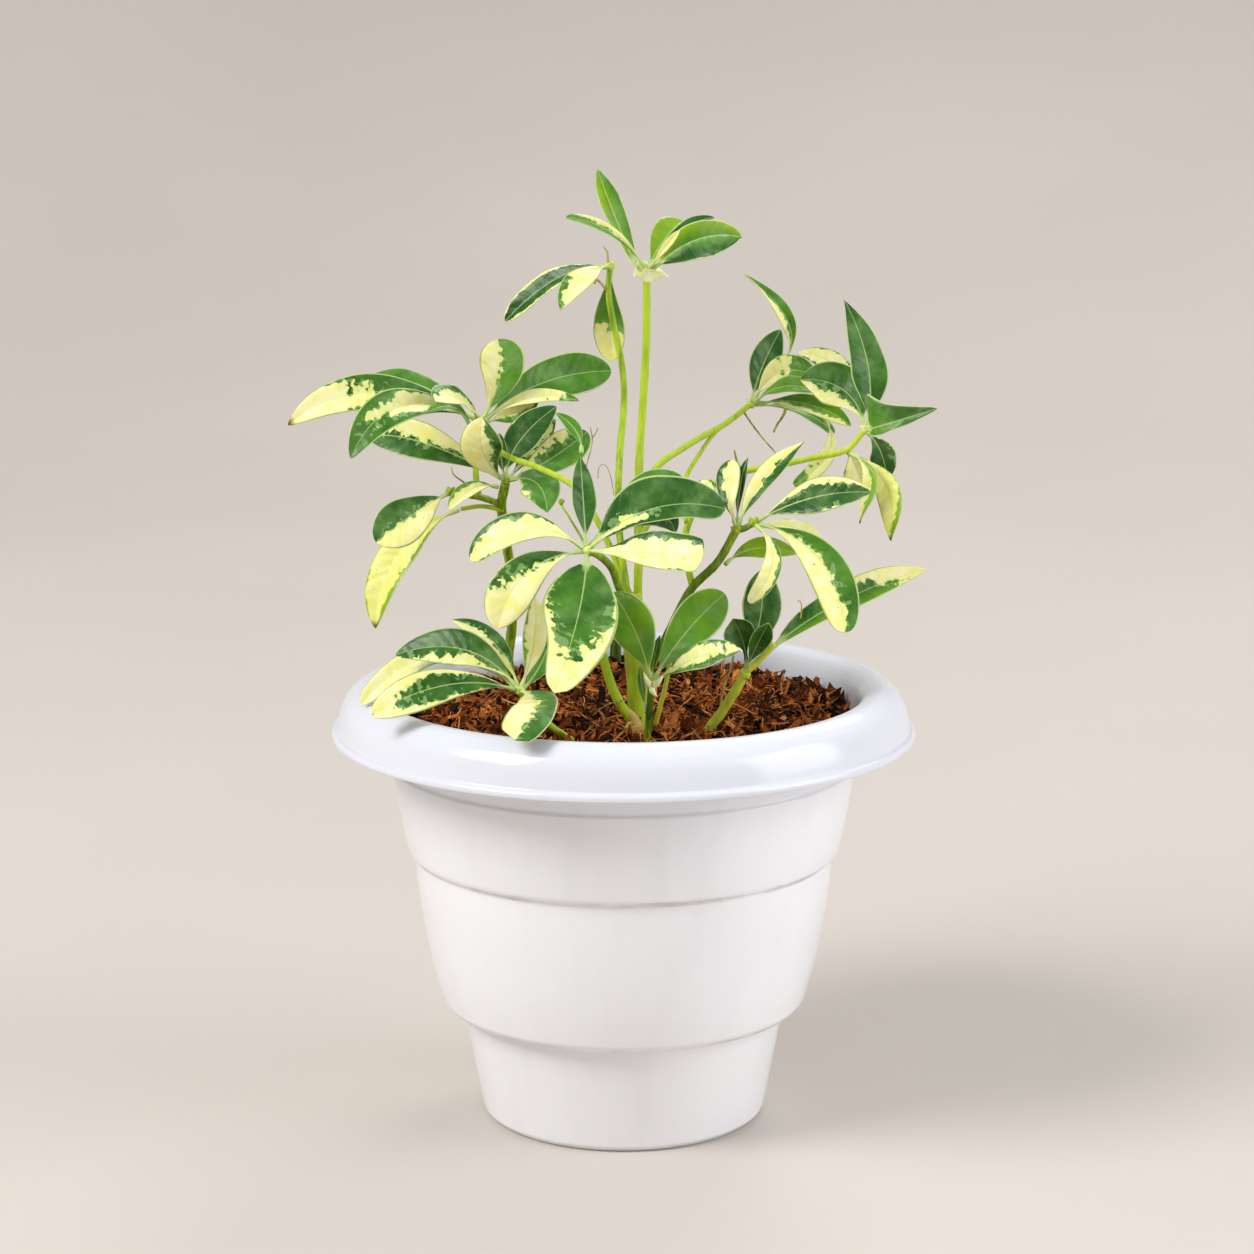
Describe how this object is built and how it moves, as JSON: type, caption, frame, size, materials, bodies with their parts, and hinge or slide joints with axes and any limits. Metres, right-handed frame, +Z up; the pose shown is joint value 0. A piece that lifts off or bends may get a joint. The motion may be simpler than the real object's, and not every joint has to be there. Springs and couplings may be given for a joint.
{
  "type": "potted umbrella plant",
  "caption": "Young variegated umbrella tree with palmate green and cream leaves, standing in a white stepped plastic pot with a rolled rim, topped with coir chips.",
  "frame": {"origin": "middle of the pot's flat underside", "axes": "+Z up along the pot's axis; +Y away from the side shown in the picture, so the plant's front faces -Y; +X to its right as seen from the front"},
  "size_m": [0.2306, 0.208, 0.3391],
  "materials": {
    "pot_plastic": "moulded, glossy",
    "coir_chips": "loose coarse fibre chips, matt",
    "woody_stem": "young green bark, satin",
    "leaf_stalk": "smooth green stalk, satin",
    "leaf_blade": "leathery leaf, green and cream, satin gloss"
  },
  "bodies": {
    "root": {"pot": "pot_plastic", "coir": "coir_chips", "trunk": "woody_stem", "stem_left": "woody_stem", "stem_right": "woody_stem", "stalk_top": "leaf_stalk", "stalk_top_left": "leaf_stalk", "stalk_centre": "leaf_stalk", "stalk_far_left": "leaf_stalk", "stalk_upper_right": "leaf_stalk", "stalk_far_right": "leaf_stalk", "stalk_front_left": "leaf_stalk", "stalk_front": "leaf_stalk", "leaflet_top_1": "leaf_blade", "leaflet_top_2": "leaf_blade", "leaflet_top_3": "leaf_blade", "leaflet_top_4": "leaf_blade", "leaflet_top_left_1": "leaf_blade", "leaflet_top_left_2": "leaf_blade", "leaflet_top_left_3": "leaf_blade", "leaflet_far_left_1": "leaf_blade", "leaflet_far_left_2": "leaf_blade", "leaflet_far_left_3": "leaf_blade", "leaflet_far_left_4": "leaf_blade", "leaflet_far_left_5": "leaf_blade", "leaflet_left_1": "leaf_blade", "leaflet_left_2": "leaf_blade", "leaflet_left_3": "leaf_blade", "leaflet_left_4": "leaf_blade", "leaflet_left_5": "leaf_blade", "leaflet_low_left_1": "leaf_blade", "leaflet_low_left_2": "leaf_blade", "leaflet_centre_1": "leaf_blade", "leaflet_centre_2": "leaf_blade", "leaflet_centre_3": "leaf_blade", "leaflet_centre_4": "leaf_blade", "leaflet_centre_5": "leaf_blade", "leaflet_centre_6": "leaf_blade", "leaflet_right_inner_1": "leaf_blade", "leaflet_right_inner_2": "leaf_blade", "leaflet_right_outer_1": "leaf_blade", "leaflet_right_outer_2": "leaf_blade", "leaflet_right_outer_3": "leaf_blade", "leaflet_upper_right_1": "leaf_blade", "leaflet_upper_right_2": "leaf_blade", "leaflet_far_right_1": "leaf_blade", "leaflet_far_right_2": "leaf_blade", "leaflet_far_right_3": "leaf_blade", "leaflet_far_right_4": "leaf_blade", "leaflet_front_left_1": "leaf_blade", "leaflet_front_left_2": "leaf_blade", "leaflet_front_left_3": "leaf_blade", "leaflet_front_left_4": "leaf_blade", "leaflet_front_left_5": "leaf_blade", "leaflet_front_1": "leaf_blade", "leaflet_front_2": "leaf_blade", "leaflet_front_3": "leaf_blade", "leaflet_front_right_1": "leaf_blade", "leaflet_front_right_2": "leaf_blade", "leaflet_front_right_3": "leaf_blade"}
  },
  "joints": []
}
